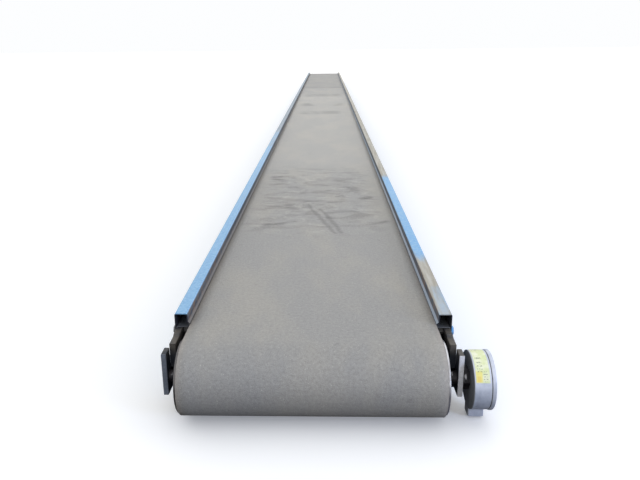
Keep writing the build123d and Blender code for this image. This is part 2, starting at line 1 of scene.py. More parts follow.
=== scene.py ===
# %% [markdown]
# # Finishing a slider-bed belt conveyor
#
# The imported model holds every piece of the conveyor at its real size: folded steel side
# frames, a flat bed, an endless belt, a drum motor with its terminal box, and a screw
# take-up. This lesson gives those pieces their surfaces: a scuffed belt, worn blue paint,
# dull plate, cast alloy. Nothing is moved. A few small pieces that metalworkers would call
# details, such as washers and weld beads, are added as new meshes.

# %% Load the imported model
import json
import math

import bpy
import numpy as np
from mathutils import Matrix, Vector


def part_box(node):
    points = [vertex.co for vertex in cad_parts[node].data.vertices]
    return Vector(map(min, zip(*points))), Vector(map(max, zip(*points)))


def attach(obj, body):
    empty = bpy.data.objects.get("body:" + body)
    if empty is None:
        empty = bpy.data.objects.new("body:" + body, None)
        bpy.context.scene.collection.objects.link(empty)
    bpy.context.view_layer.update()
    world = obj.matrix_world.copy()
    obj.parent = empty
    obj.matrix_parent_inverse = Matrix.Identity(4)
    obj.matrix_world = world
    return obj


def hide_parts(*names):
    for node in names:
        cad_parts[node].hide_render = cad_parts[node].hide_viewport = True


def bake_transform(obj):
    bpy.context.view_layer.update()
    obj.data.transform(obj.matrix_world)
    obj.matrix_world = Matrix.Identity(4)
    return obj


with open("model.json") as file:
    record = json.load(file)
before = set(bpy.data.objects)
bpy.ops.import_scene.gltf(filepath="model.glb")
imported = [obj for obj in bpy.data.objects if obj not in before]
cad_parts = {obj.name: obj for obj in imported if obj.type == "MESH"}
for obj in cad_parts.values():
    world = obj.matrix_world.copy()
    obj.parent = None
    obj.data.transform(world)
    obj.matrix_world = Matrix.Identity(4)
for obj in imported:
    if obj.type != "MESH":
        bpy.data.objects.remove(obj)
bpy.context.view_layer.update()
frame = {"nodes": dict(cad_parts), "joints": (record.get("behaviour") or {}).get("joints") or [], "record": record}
nodes = frame["nodes"]
joints = {joint["name"]: joint for joint in frame["joints"]}

# %% [markdown]
# ## Where things are
#
# All places come from the frame itself: the drum axes from the joints, sizes from the boxes
# of the nodes. A later change of a size in the model then carries through to the looks.

# %% Read the main places
head_axis = np.array(joints["head_drum_spin"]["pos_m"])
tail_axis = np.array(joints["tail_drum_spin"]["pos_m"])
roller_axes = [np.array(joints[f"roller_{n}_spin"]["pos_m"]) for n in range(1, 7)]
belt_half, _, belt_top = np.array(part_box("belt")[1])
rail_low, rail_high = (np.array(corner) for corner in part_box("side_frame_right_1"))
print("belt", round(2 * belt_half, 3), "wide, top at", round(belt_top, 4))


def new_object(name, data):
    """Puts data into the scene as an object at the origin."""
    made = bpy.data.objects.new(name, data)
    bpy.context.scene.collection.objects.link(made)
    return made


# %% [markdown]
# ## Camera
#
# The viewer stands at the head end, a little over a metre away and at chest height, and
# looks down along the belt. A 33 mm lens shows the near drum large and lets the far end
# run away to a small neck. A slight downward shift keeps the drum's end plates upright,
# as a view camera would. The camera is placed from the head drum's axis.

# %% Place the camera
CAMERA_FROM_HEAD = (0.0328, -1.2221, 0.7512)
CAMERA_TURN = (75.044, 0.567, 1.563)
LENS_MM = 33.19
SENSOR_MM = 36.0
SHIFT = (0.0177, -0.0625)

camera_data = bpy.data.cameras.new("camera")
camera_data.lens = LENS_MM
camera_data.sensor_width = SENSOR_MM
camera_data.shift_x, camera_data.shift_y = SHIFT
camera_data.clip_start, camera_data.clip_end = 0.05, 200.0
camera = new_object("camera", camera_data)
camera.location = head_axis + np.array(CAMERA_FROM_HEAD)
camera.rotation_euler = [math.radians(turn) for turn in CAMERA_TURN]
bpy.context.scene.camera = camera
print("camera at", [round(float(v), 3) for v in camera.location])

# %% [markdown]
# ## Shader arithmetic
#
# A material's pattern is a sum of simple fields: noises, ramps and smooth steps. Written as
# node links these are hard to read, so one small class wraps an output socket and lets
# Python's own operators add the Math nodes. Every other node comes from one method, which
# sets the node's settings first and its sockets after.

# %% A wrapped socket
class Field:
    """One output socket. Arithmetic on it adds Math nodes to the same tree."""

    def __init__(self, tree, socket):
        self.tree = tree
        self.socket = socket

    def node(self, kind, settings, sockets, output=0):
        return add_node(self.tree, kind, settings, sockets, output)

    def math(self, operation, first, second=0.0):
        return self.node("ShaderNodeMath", {"operation": operation}, {0: first, 1: second})

    def __add__(self, other):
        return self.math("ADD", self, other)

    def __sub__(self, other):
        return self.math("SUBTRACT", self, other)

    def __rsub__(self, other):
        return self.math("SUBTRACT", other, self)

    def __mul__(self, other):
        return self.math("MULTIPLY", self, other)

    def __abs__(self):
        return self.math("ABSOLUTE", self)

    __radd__ = __add__

    def step(self, start, end):
        """0 below start, 1 above end, and a smooth rise between. start may be the larger."""
        limits = {1: start, 2: end, 3: 0.0, 4: 1.0}
        if start > end:
            limits = {1: end, 2: start, 3: 1.0, 4: 0.0}
        return self.node(
            "ShaderNodeMapRange", {"interpolation_type": "SMOOTHSTEP"}, {0: self, **limits}
        )

    def clip(self):
        return self.math("MINIMUM", self.math("MAXIMUM", self, 0.0), 1.0)

    def within(self, low, high, soft):
        """1 between low and high, falling to 0 over the distance soft outside them."""
        return self.step(low - soft, low) * self.step(high + soft, high)


def add_node(tree, kind, settings, sockets, output=0):
    """Adds one node: its settings first, then values or links for its sockets."""
    node = tree.nodes.new(kind)
    for key, value in settings.items():
        setattr(node, key, value)
    for key, value in sockets.items():
        if isinstance(value, Field):
            tree.links.new(value.socket, node.inputs[key])
        else:
            node.inputs[key].default_value = value
    return Field(tree, node.outputs[output])


# %% [markdown]
# Colours are given as a painter reads them, in 0 to 255 screen values, and turned into the
# linear light values that the shader works in.

# %% Colour and pattern helpers
def screen(red, green, blue):
    """A screen colour, 0 to 255, as linear light: each value is raised by the screen's curve."""
    values = np.array([red, green, blue]) / 255.0
    return tuple(np.where(values <= 0.04045, values / 12.92, ((values + 0.055) / 1.055) ** 2.4))


class Finish:
    """A material under construction: its tree, its coordinates and its pattern helpers."""

    def __init__(self, name, use_map=False):
        self.material = bpy.data.materials.new(name)
        self.material.use_nodes = True
        self.tree = self.material.node_tree
        self.tree.nodes.clear()
        where = "UV" if use_map else "Object"
        self.place = add_node(self.tree, "ShaderNodeTexCoord", {}, {}, where)
        source = {0: self.place}
        axes = [add_node(self.tree, "ShaderNodeSeparateXYZ", {}, source, i) for i in range(3)]
        self.x, self.y, self.z = axes

    def stretched(self, scale):
        """The coordinates multiplied by three scales, for grain that runs one way."""
        settings = {"operation": "MULTIPLY"}
        return add_node(self.tree, "ShaderNodeVectorMath", settings, {0: self.place, 1: scale})

    def noise(self, scale, detail=3.0, rough=0.55, warp=0.0):
        """Cloudy noise from 0 to 1. scale is a number per metre, or one for each axis."""
        if np.ndim(scale):
            vector, factor = self.stretched(scale), 1.0
        else:
            vector, factor = self.place, scale
        sockets = {"Vector": vector, "Scale": factor, "Detail": detail}
        sockets.update({"Roughness": rough, "Distortion": warp})
        return add_node(self.tree, "ShaderNodeTexNoise", {}, sockets)

    def cells(self, scale, output="Distance"):
        """Distance to the nearest of scattered points, for pits, or its colour, for spangle."""
        sockets = {"Vector": self.place, "Scale": scale}
        return add_node(self.tree, "ShaderNodeTexVoronoi", {}, sockets, output)

    def mix(self, mask, first, second):
        """A colour that is first where mask is 0 and second where it is 1."""
        low, high = [c if isinstance(c, Field) else (*c, 1.0) for c in (first, second)]
        settings = {"data_type": "RGBA", "clamp_factor": True}
        return add_node(self.tree, "ShaderNodeMix", settings, {0: mask, 6: low, 7: high}, 2)

    def stroke(self, start, end, width, soft):
        """A painted line in the XY plane, as a mask: 1 on it, 0 beyond its width.

        The nearest point of the line from start to end is start + t (end - start), where t is
        the projection of the place on the line, kept between 0 and 1. The mask falls with the
        distance to that point.
        """
        run = (end[0] - start[0], end[1] - start[1])
        square = run[0] ** 2 + run[1] ** 2
        from_x, from_y = self.bent_x - start[0], self.bent_y - start[1]
        t = (from_x * (run[0] / square) + from_y * (run[1] / square)).clip()
        gap_x, gap_y = from_x - t * run[0], from_y - t * run[1]
        distance = self.x.math("SQRT", gap_x * gap_x + gap_y * gap_y)
        return distance.step(width + soft, max(width - soft, 0.0))

    def bend(self, scale, amount):
        """Shifts the place that strokes are drawn at by a slow noise, so lines aren't ruled."""
        self.bent_x = self.x + (self.noise(scale, 2.0) - 0.5) * amount
        self.bent_y = self.y + (self.noise((scale * 1.3, scale * 0.7, 1.0), 2.0) - 0.5) * amount

    def wave(self, field, per_metre):
        """A sine of a coordinate, as 0 to 1, with this many radians in a metre."""
        return field.math("SINE", field * per_metre) * 0.5 + 0.5

    def shade(self, amount, colour):
        """A colour made lighter or darker by a factor that varies over the surface."""
        settings = {"operation": "SCALE"}
        sockets = {0: colour, 3: amount}
        return add_node(self.tree, "ShaderNodeVectorMath", settings, sockets)

    def close(self, colour, roughness, metallic=0.0, bumps=(), **fixed):
        """Joins the shader. bumps is a list of (height field, distance in metres)."""
        normal = None
        for height, distance in bumps:
            sockets = {"Height": height, "Distance": distance, "Strength": 1.0}
            if normal is not None:
                sockets["Normal"] = normal
            normal = add_node(self.tree, "ShaderNodeBump", {}, sockets)
        sockets = {"Base Color": colour if isinstance(colour, Field) else (*colour, 1.0)}
        sockets.update({"Roughness": roughness, "Metallic": metallic})
        if normal is not None:
            sockets["Normal"] = normal
        sockets.update({key.replace("_", " "): value for key, value in fixed.items()})
        shader = add_node(self.tree, "ShaderNodeBsdfPrincipled", {}, sockets)
        out = self.tree.nodes.new("ShaderNodeOutputMaterial")
        self.tree.links.new(shader.socket, out.inputs["Surface"])
        return self.material


# %% [markdown]
# ## The belt's cover
#
# A package-handling belt has a thin grey plastic cover with a fine grain on woven plies. In
# use it picks up smears where boxes are dragged, drag arcs, and faint cross lines where it
# has lain folded. The pattern is drawn in the belt's own map, across and along in metres,
# so that it follows the belt round the drums.

# %% Belt materials
BELT_GREY = screen(149, 148, 146)
BELT_WARM = screen(156, 153, 147)
BELT_PALE = screen(205, 202, 194)
BELT_DARK = screen(92, 90, 89)
SPLICE_FROM_HEAD = 7.8
SPLICE_LENGTH = 0.06
WORKED = (0.95, 1.75, 0.30)
PALE_STRETCH = (2.2, 6.2, 0.8)
FOLD_BANDS = [(4.50, 4.64, 0.10), (5.25, 5.40, 0.14), (6.40, 6.60, 0.20)]
PAST_TAIL = 30.0
STROKE_SOFT, CROSS_SOFT = 0.010, 0.016
DRAG_MARKS = [
    ((-0.048, 1.190), (0.000, 1.030), 0.005),
    ((0.000, 1.030), (0.066, 0.795), 0.006),
    ((0.014, 1.110), (0.046, 0.990), 0.004),
    ((0.046, 0.990), (0.092, 0.800), 0.007),
]
CROSS_MARKS = [
    ((-0.050, 1.235), (0.100, 1.215), 0.016),
    ((-0.010, 1.330), (0.105, 1.320), 0.012),
    ((0.160, 1.200), (0.222, 1.300), 0.014),
    ((0.222, 1.300), (0.170, 1.390), 0.014),
    ((-0.270, 0.910), (-0.130, 0.905), 0.010),
    ((0.105, 0.885), (0.205, 0.885), 0.010),
    ((0.205, 0.885), (0.262, 0.940), 0.010),
    ((-0.215, 1.720), (-0.180, 1.580), 0.030),
    ((-0.200, 1.520), (-0.080, 1.470), 0.030),
    ((0.105, 1.600), (0.170, 1.420), 0.028),
    ((-0.250, 1.120), (-0.130, 1.160), 0.022),
]


# %% Belt cover
def belt_cover():
    f = Finish("belt_cover", use_map=True)
    across, along = f.x, f.y
    grain = f.noise(430.0, 3.0, 0.7)
    mottle = f.noise(125.0, 3.0, 0.65)
    cloud = f.noise((5.0, 2.2, 1.0), 4.0, 0.6)
    strands = f.noise((14.0, 150.0, 1.0), 2.0, 0.5)
    tone = 0.22 + grain * 0.78 + mottle * 0.62 + cloud * 0.14
    f.bend(7.0, 0.03)
    worked = along.within(*WORKED) * abs(across).step(0.30, 0.20)
    smear = f.noise((6.0, 11.0, 1.0), 6.0, 0.6, 1.6).step(0.44, 0.68)
    rubbed = f.noise((13.0, 19.0, 4.0), 5.0, 0.62, 1.2).step(0.50, 0.72)
    drags = sum(f.stroke(*mark, STROKE_SOFT) for mark in DRAG_MARKS).clip()
    crosses = sum(f.stroke(*mark, CROSS_SOFT) for mark in CROSS_MARKS).clip()
    waver = f.noise((3.0, 1.0, 1.0), 2.0, 0.5, 1.0).step(0.36, 0.62)
    folds = sum(along.within(*band) for band in FOLD_BANDS) * waver * abs(across).step(0.27, 0.17)
    colour = f.mix(cloud.step(0.40, 0.66), BELT_GREY, BELT_WARM)
    colour = f.mix(along.within(*PALE_STRETCH) * 0.20, colour, BELT_PALE)
    colour = f.mix(rubbed * worked * 0.30, colour, BELT_PALE)
    colour = f.mix(smear * worked * 0.34, colour, BELT_DARK)
    colour = f.mix(crosses * (0.14 + smear * 0.42), colour, BELT_DARK)
    colour = f.mix(drags * 0.46, colour, BELT_DARK)
    colour = f.mix(folds * 0.42, colour, BELT_DARK)
    beyond = along.within(SPLICE_FROM_HEAD, PAST_TAIL, 0.01)
    # Painted shadow: a dark band on the near side of the spliced joint stands in for the shade behind its hump.
    splice_shadow = along.within(SPLICE_FROM_HEAD - SPLICE_LENGTH, SPLICE_FROM_HEAD, 0.02)
    colour = f.mix(beyond * 0.26, colour, BELT_DARK)
    colour = f.mix(splice_shadow * 0.5, colour, BELT_DARK)
    colour = f.mix(abs(across).step(0.284, 0.298) * 0.25, colour, screen(176, 164, 154))
    flecks = f.cells(170.0).step(0.24, 0.10) * f.noise(55.0).step(0.42, 0.62)
    colour = f.mix(flecks * 0.55, colour, BELT_PALE)
    marks = f.noise(26.0, 3.0, 0.5).step(0.66, 0.74)
    colour = f.mix(marks * 0.2, colour, BELT_DARK)
    roughness = 0.50 + mottle * 0.12 + smear * worked * 0.10
    bumps = [(grain, 0.0008), (mottle, 0.0008), (strands, 0.0004)]
    return f.close(f.shade(tone, colour), roughness, bumps=bumps, Specular_IOR_Level=0.55)


# %% Belt underside and edge
def belt_fabric():
    """The underside: a plain weave of polyester yarn, crossed sines in the belt's own map."""
    f = Finish("belt_fabric", use_map=True)
    warp = f.wave(f.x, 900.0)
    weft = f.wave(f.y, 900.0)
    weave = warp * weft
    polish = f.noise((20.0, 1.5, 1.0), 3.0)
    colour = f.mix(weave * 0.5 + 0.25, screen(96, 92, 84), screen(164, 158, 146))
    colour = f.mix(polish.step(0.5, 0.7) * 0.5, colour, screen(70, 68, 66))
    return f.close(colour, 0.8, bumps=[(weave, 0.0003)], Specular_IOR_Level=0.3)


def belt_edge():
    """The cut edge shows its plies: dark rubber with two pale fabric lines."""
    f = Finish("belt_edge", use_map=True)
    fray = f.noise((200.0, 60.0, 1.0), 4.0, 0.6)
    return f.close(f.mix(fray.step(0.4, 0.66), screen(78, 74, 72), screen(150, 142, 134)), 0.85)


# %% [markdown]
# ## The belt itself
#
# The belt is a strip carried round a closed line: over the bed, round the tail drum, back
# over the return rollers and up round the head drum. A point of the surface is the line's
# point at a distance along, moved across and outwards by the section's own outline. The
# section is a flat rounded bar, a little crowned at its edges. The line's drum arcs and the
# tangents between drum and roller are worked out from the two radii.

# %% The belt's line
BELT_THICK = 0.004
BELT_EDGE = 0.0008
ARC_STEPS, ROLLER_STEPS, SECTION_STEPS = 56, 7, 24
LINE_STEP = 0.05
drum_out = belt_top - head_axis[2]
drum_in = drum_out - BELT_THICK
gap_at_drum = drum_in - (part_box("drum_shell")[1][2] - head_axis[2])
roller_low, roller_high = (np.array(corner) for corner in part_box("return_roller_1"))
roller_touch = (roller_high[2] - roller_low[2]) / 2 + gap_at_drum
run = roller_axes[0][1:] - head_axis[1:]
climb = math.asin((drum_out + roller_touch) / np.hypot(*run)) - math.atan2(-run[1], run[0])


def arc(centre, radius, start, end, count):
    """Points on a circle in the YZ plane with their outward normals, from angle to angle."""
    turn = np.linspace(start, end, count)
    normal = np.stack([np.cos(turn), np.sin(turn)], 1)
    return centre[1:] + radius * normal, normal


def belt_line():
    """The outer face's line as points, outward normals, and distance along from the head."""
    back = math.pi / 2
    pieces = [
        arc(head_axis, drum_out, math.pi + back + climb, back, ARC_STEPS),
        arc(tail_axis, drum_out, back, -back - climb, ARC_STEPS),
    ]
    lift_tail, lift_head = roller_axes[-1], roller_axes[0]
    for centre, start, end in ((lift_tail, back - climb, back), (lift_head, back, back + climb)):
        points, normal = arc(centre, roller_touch, start, end, ROLLER_STEPS)
        pieces.append((points, -normal))
    rows, normals = [], []
    for number, (points, normal) in enumerate(pieces):
        following = pieces[(number + 1) % len(pieces)][0]
        gap = following[0] - points[-1]
        steps = max(2, int(np.hypot(*gap) / LINE_STEP))
        share = np.linspace(0, 1, steps + 1)[1:-1, None]
        rows += [points, points[-1] + gap * share]
        normals += [normal, np.repeat(normal[-1:], len(share), 0)]
    line, normal = np.concatenate(rows), np.concatenate(normals)
    lengths = np.hypot(*np.diff(line, axis=0, append=line[:1]).T)
    along = np.concatenate([[0.0], np.cumsum(lengths)])
    return line, normal, along


def belt_section():
    """The section's outline: across, depth inwards, and which face each side belongs to."""
    upper, lower = BELT_EDGE, BELT_THICK - BELT_EDGE
    wide = belt_half - BELT_EDGE
    flat = np.linspace(-wide, wide, SECTION_STEPS)
    across = np.concatenate([flat, [belt_half, belt_half], flat[::-1], [-belt_half, -belt_half]])
    depth = np.concatenate([0 * flat, [upper, lower], 0 * flat + BELT_THICK, [lower, upper]])
    face = [0] * (SECTION_STEPS - 1) + [2] * 3 + [1] * (SECTION_STEPS - 1) + [2] * 3
    return across, depth, np.array(face)


def grid_faces(rows, columns, capped=False):
    """Four-cornered faces over a grid that closes on itself both ways, or across its columns
    only where capped, with one more face at each end."""
    r, c = np.meshgrid(np.arange(rows - capped), np.arange(columns), indexing="ij")
    next_r, next_c = (r + 1) % rows * columns, (c + 1) % columns
    r = r * columns
    faces = np.stack([r + c, r + next_c, next_r + next_c, next_r + c], -1).reshape(-1, 4).tolist()
    if capped:
        last = (rows - 1) * columns
        faces += [list(range(columns))[::-1], list(range(last, last + columns))]
    return faces


def strip_mesh(name, grid, uv_rows, uv_columns, face_slots, materials):
    """A mesh closed both ways over a (rows, columns, 3) grid, with a map in metres."""
    rows, columns = grid.shape[:2]
    mesh = bpy.data.meshes.new(name)
    mesh.from_pydata(grid.reshape(-1, 3), [], grid_faces(rows, columns))
    r, c = np.meshgrid(np.arange(rows), np.arange(columns), indexing="ij")
    u = np.stack([uv_columns[c], uv_columns[c + 1], uv_columns[c + 1], uv_columns[c]], -1)
    v = np.stack([uv_rows[r], uv_rows[r], uv_rows[r + 1], uv_rows[r + 1]], -1)
    layer = mesh.uv_layers.new(name="metres")
    layer.data.foreach_set("uv", np.stack([u, v], -1).reshape(-1).astype(np.float32))
    for material in materials:
        mesh.materials.append(material)
    mesh.polygons.foreach_set("material_index", np.tile(face_slots, rows))
    mesh.polygons.foreach_set("use_smooth", np.ones(rows * columns, bool))
    mesh.update()
    return new_object(name, mesh)


# %% [markdown]
# The carrying run isn't quite flat: a belt that has been stored folded keeps low cross
# waves, and it humps a little where it is spliced. The wave is a few tenths of a millimetre
# and grows to one and a half millimetres in the stretch where the fold lines are.

# %% Make the belt
FLAT_FROM_DRUM = 0.15
FOLD_FROM_HEAD, FOLD_REACH = 5.7, 0.9
WAVE_LIFT, FOLD_LIFT, SPLICE_LIFT = 0.0002, 0.0013, 0.0016
WAVE_TURNS, FOLD_TURNS, SPLICE_REACH = 9.0, 4.2, 0.02


def belt_piece():
    """The whole belt, its map measured from the point where it leaves the head drum."""
    line, normal, along = belt_line()
    across, depth, face = belt_section()
    metres = along - along[ARC_STEPS - 1]
    y = line[:, 0]
    between_drums = (y > head_axis[1] + FLAT_FROM_DRUM) & (y < tail_axis[1] - FLAT_FROM_DRUM)
    on_top = (normal[:, 1] > 0.999) & between_drums
    far = y - head_axis[1]
    fold = np.exp(-(((far - FOLD_FROM_HEAD) / FOLD_REACH) ** 2))
    lift = WAVE_LIFT * np.sin(far * WAVE_TURNS) ** 2
    lift += FOLD_LIFT * fold * np.sin(far * FOLD_TURNS) ** 2
    lift += SPLICE_LIFT * np.exp(-(((far - SPLICE_FROM_HEAD) / SPLICE_REACH) ** 2))
    out = line + normal * np.where(on_top, lift, 0.0)[:, None]
    grid = np.empty((len(out), len(across), 3))
    grid[..., 0] = across
    grid[..., 1:] = out[:, None, :] - normal[:, None, :] * depth[None, :, None]
    u = np.concatenate([across, across[:1]])
    materials = [belt_cover(), belt_fabric(), belt_edge()]
    return strip_mesh("belt_strip", grid, metres, u, face, materials)


belt = belt_piece()
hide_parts("belt")
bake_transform(belt)
print("belt faces", len(belt.data.polygons))

# %% [markdown]
# ## Worn blue paint
#
# The side frames are folded sheet in light blue paint. Hands, boxes and dust have dulled
# the rail's top to a grey beige in long patches, most of all towards the tail. The inner
# skirt is dark, partly from boxes rubbing it and partly as painted shade beside the belt.
# The inside of the channel and the front cut ends below the top are painted near black, as shade.
# The zones are read from the place on the section, which is the same all along the frame.

# %% Frame paint
RAIL_CLEAR = 0.004
SHEET = 0.003
SKIN = 0.0004
skirt_x = belt_half + RAIL_CLEAR
web_x = rail_high[0]
rail_z = rail_high[2]
near_end = rail_low[1] - head_axis[1]


def frame_paint():
    f = Finish("frame_paint")
    side = abs(f.x)
    far = f.y - float(head_axis[1])
    patches = f.noise((9.0, 2.4, 9.0), 4.0, 0.6)
    streaks = f.noise((90.0, 7.0, 90.0), 4.0, 0.6)
    specks = f.noise(160.0, 3.0, 0.6)
    right = f.x.step(-0.1, 0.1)
    keep_left = far.step(4.2, 1.4) * 0.8 + 0.1
    keep_right = far.within(0.62, 1.45, 0.30) + far.within(0.0, 0.24, 0.05) * 0.45
    keep = keep_left * (1.0 - right) + keep_right * right
    blue = (patches * 0.7 + streaks * 0.35 + keep * 0.62).step(0.66, 1.02)
    sky_blue = f.mix(right, screen(118, 168, 210), screen(102, 166, 220))
    paint = f.mix(specks.step(0.3, 0.7), sky_blue, screen(144, 188, 222))
    bleached = f.mix(streaks.step(0.4, 0.62), screen(156, 170, 182), screen(140, 152, 164))
    rubbed = f.mix(streaks.step(0.35, 0.7), screen(158, 152, 138), screen(188, 186, 178))
    colour = f.mix(blue, f.mix(right, bleached, rubbed), paint)
    on_top = f.z.step(rail_z - 3 * SKIN, rail_z - SKIN)
    outer = (1.0 - on_top) * side.step(web_x - 3 * SKIN, web_x - SKIN)
    dust = f.z.step(0.13, 0.0) * (0.25 + patches * 0.5)
    drips = f.noise((5.0, 34.0, 5.0), 4.0, 0.6).step(0.52, 0.74) * 0.28
    scrapes = f.noise((3.0, 5.0, 240.0), 4.0, 0.65).step(0.62, 0.70) * patches.step(0.45, 0.6)
    web_blue = f.mix(patches.step(0.3, 0.7), screen(84, 142, 196), screen(104, 162, 212))
    web_colour = f.mix((dust + drips).clip(), web_blue, screen(150, 148, 140))
    web_colour = f.mix(scrapes * 0.6, web_colour, screen(176, 186, 194))
    colour = f.mix(outer, colour, web_colour)
    lip = f.z.step(rail_z - 0.0195, rail_z - 0.0230)
    # The inner skirt's dark slate is partly rub marks and partly painted shade beside the belt.
    slate = f.mix(streaks.step(0.4, 0.7), screen(58, 66, 80), screen(92, 98, 106))
    rust = f.noise(34.0, 4.0, 0.65).step(0.46, 0.62) * far.step(1.1, 0.2)
    slate = f.mix(rust * 0.7, slate, screen(118, 92, 72))
    rubbed_lip = f.mix(right, screen(104, 100, 98), screen(150, 164, 180))
    skirt = f.mix(lip * (0.55 + streaks * 0.45), slate, rubbed_lip)
    inner = side.step(skirt_x + 4 * SKIN, skirt_x + SKIN)
    inner = inner * f.z.step(rail_z - 2 * SKIN, rail_z - 0.0025)
    colour = f.mix(inner, colour, skirt)
    # Painted shade: the inside of the channel and the front cut ends are coloured near black for the shade in
    # these recesses.
    inside = SHEET - SKIN
    channel_shade = side.within(skirt_x + 0.0022, web_x - inside, SKIN)
    channel_shade = channel_shade * f.z.within(inside, rail_z - inside, SKIN)
    cut_end_shade = far.step(near_end + 0.0006, near_end + 0.0002)
    cut_end_shade = cut_end_shade * f.z.step(rail_z - 0.0022, rail_z - 0.0032)
    colour = f.mix((channel_shade + cut_end_shade).clip(), colour, screen(24, 27, 38))
    chips = f.noise(70.0, 5.0, 0.7).step(0.60, 0.66)
    near_fold = side.step(web_x - 0.004, web_x - 0.001)
    near_fold = near_fold + side.step(skirt_x + 0.004, skirt_x + 0.001)
    low_edge = f.z.step(0.012, 0.002) * outer
    bare = (chips * (near_fold * on_top * 0.8 + low_edge * 0.8 + 0.16)).clip() * (1.0 - channel_shade)
    colour = f.mix(bare, colour, screen(120, 112, 104))
    roughness = 0.38 + streaks * 0.2 + (1.0 - blue) * 0.10 + channel_shade * 0.3
    return f.close(colour, roughness, bumps=[(specks, 0.0002), (chips, 0.0001)])


# %% [markdown]
# ## Dull plate and bare steel
#
# The brackets and axle plates were flame-cut from plate and brushed with dark primer. Their
# front edges are rubbed bright and painted lighter still as lit faces, the right-hand ones
# almost white, and their tops have begun to rust. Turned parts keep fine rings round their
# axis, drawn from the distance to that axis.

# %% Plate, turned steel, zinc, castings
def plate_paint():
    f = Finish("plate_paint")
    cloud = f.noise(22.0, 4.0, 0.6)
    fine = f.noise(260.0, 4.0, 0.65)
    scratches = f.noise((30.0, 400.0, 30.0), 3.0, 0.6).step(0.62, 0.72)
    up = f.z - float(head_axis[2])
    colour = f.mix(cloud.step(0.4, 0.7), screen(44, 49, 58), screen(62, 66, 74))
    colour = f.mix(up.step(0.04, 0.075) * cloud.step(0.35, 0.6) * 0.6, colour, screen(112, 104, 92))
    colour = f.mix(scratches * 0.3, colour, screen(150, 150, 152))
    # Painted light: the front faces are lighter where the light falls on them, the right-hand ones almost white;
    # some of it is rubbed wear.
    nose = f.noise(120.0, 3.0, 0.6).step(0.35, 0.7)
    front = f.y.step(float(head_axis[1]) - 0.0205, float(head_axis[1]) - 0.0215)
    lit_front_grey = f.mix(f.x.step(-0.1, 0.1), screen(124, 132, 146), screen(250, 250, 254))
    colour = f.mix(front * (0.75 + nose * 0.25), colour, lit_front_grey)
    return f.close(colour, 0.46 + fine * 0.2, 0.2, bumps=[(fine, 0.0003), (cloud, 0.0008)])


def turned_steel(name, axis, light, dark, roughness=0.28, shaded=None):
    """Bare turned steel: rings by the distance from the axis, stained by handling.

    Where a shaded colour is given, the side away from the box takes it on as painted shade.
    """
    f = Finish(name)
    across = f.y - float(axis[1])
    up = f.z - float(axis[2])
    radius = f.x.math("SQRT", across * across + up * up)
    rings = f.wave(radius, 9000.0)
    stain = f.noise(18.0, 5.0, 0.6)
    fine = f.noise((900.0, 60.0, 60.0), 3.0, 0.6)
    colour = f.mix(stain.step(0.42, 0.72), light, dark)
    colour = f.mix(fine.step(0.45, 0.75) * 0.3, colour, dark)
    # Painted shade: the left side, away from the light, takes the darker colour.
    if shaded:
        colour = f.mix(f.x.step(0.1, -0.1), colour, shaded)
    bumps = [(rings, 0.00006), (fine, 0.00005)]
    return f.close(colour, roughness + stain * 0.25, 0.85, bumps)


def zinc(name, light, dark, spangle=220.0):
    """Zinc coating: small crystals of slightly different grey, dulled by white dust."""
    f = Finish(name)
    crystals = f.cells(spangle, "Color")
    grey = add_node(f.tree, "ShaderNodeSeparateXYZ", {}, {0: crystals}, 0)
    dust = f.noise(14.0, 5.0, 0.65)
    colour = f.mix(grey, light, dark)
    colour = f.mix(dust.step(0.5, 0.75) * 0.6, colour, screen(150, 148, 142))
    return f.close(colour, 0.34 + dust * 0.25 + grey * 0.08, 0.75, bumps=[(dust, 0.0003)])


def casting(name, light, dark, metallic=0.7, roughness=0.42):
    """Cast metal: a sand or die skin with soft pits and a darker bloom in places."""
    f = Finish(name)
    skin = f.noise(700.0, 3.0, 0.6)
    bloom = f.noise(30.0, 4.0, 0.6)
    pits = f.cells(260.0).step(0.22, 0.05)
    colour = f.mix(bloom.step(0.4, 0.7), light, dark)
    colour = f.mix(pits * 0.4, colour, dark)
    bumps = [(skin, 0.0002), (pits, 0.0001)]
    return f.close(colour, roughness + skin * 0.15, metallic, bumps)


# %% [markdown]
# ## Terminal box, label and small parts
#
# The box is die-cast alloy, silver outside, with a blue cast painted in as a reflection of the
# sky. Its back, which faces the drum, is darker, so the colour changes where the back face
# begins. Round its rim lies a film in pale yellow green, with a warm patch and a few ruled
# fields, and no lettering.

# %% Box, label, rubber, blue bolts
box_back = float(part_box("terminal_box")[0][0])
lid_low, lid_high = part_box("terminal_box_lid")
box_z = float(lid_low[2] + lid_high[2]) / 2


def box_alloy():
    f = Finish("box_alloy")
    skin = f.noise(600.0, 3.0, 0.6)
    bloom = f.noise(26.0, 4.0, 0.6)
    runs = f.noise((40.0, 40.0, 6.0), 4.0, 0.6)
    # The silver carries a blue cast, a painted reflection of the sky.
    colour = f.mix(bloom.step(0.38, 0.7), screen(214, 219, 232), screen(184, 192, 208))
    colour = f.mix(runs.step(0.55, 0.8) * 0.3, colour, screen(132, 138, 150))
    back = f.x.step(box_back + 0.0022, box_back + 0.0006)
    dark_back = f.mix(bloom, screen(92, 94, 98), screen(140, 142, 144))
    colour = f.mix(back, colour, dark_back)
    roughness = 0.36 + skin * 0.12 + back * 0.25
    return f.close(colour, roughness, 0.25 - back * 0.15, bumps=[(skin, 0.00012), (bloom, 0.0004)])


